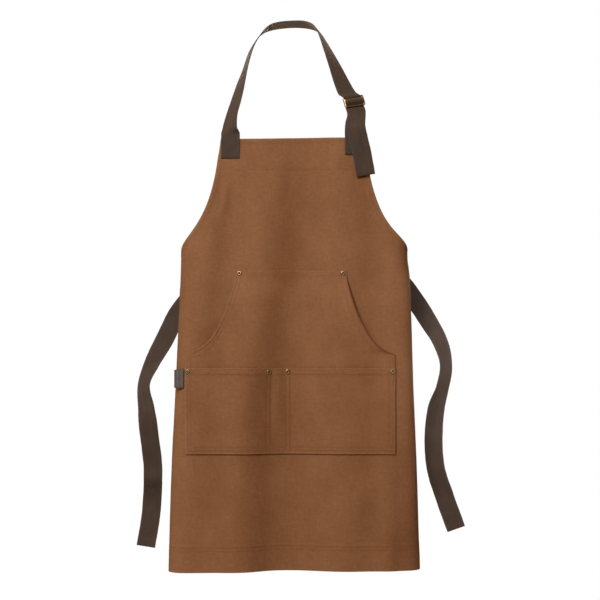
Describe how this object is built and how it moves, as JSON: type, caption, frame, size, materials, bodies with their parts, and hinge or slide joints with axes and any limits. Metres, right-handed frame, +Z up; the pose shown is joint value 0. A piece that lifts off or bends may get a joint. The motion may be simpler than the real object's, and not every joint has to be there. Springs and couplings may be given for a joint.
{
  "type": "work apron",
  "caption": "Canvas work apron in its worn form: a draped bib panel with hand and tool pockets, a webbing neck strap with a slider, and loose waist ties.",
  "frame": {"origin": "middle of the neck strap at the nape, where the apron hangs", "axes": "+Z up as worn, -Y the way the front of the apron faces, +X to the right as seen from the front"},
  "size_m": [0.6674, 0.2051, 1.1199],
  "materials": {
    "canvas": "matt tan cotton canvas",
    "webbing": "dark brown woven cotton webbing",
    "tape": "grey-brown woven tape",
    "brass": "antique brass"
  },
  "bodies": {
    "root": {"panel": "canvas", "hand_pocket": "canvas", "tool_pocket": "canvas", "side_tab": "tape", "neck_strap": "webbing", "anchor_strap": "webbing", "strap_slider": "brass", "left_tie": "webbing", "right_tie": "webbing", "rivet_hand_left": "brass", "rivet_hand_right": "brass", "rivet_tool_left": "brass", "rivet_divider_left": "brass", "rivet_divider_right": "brass", "rivet_tool_right": "brass"}
  },
  "joints": []
}
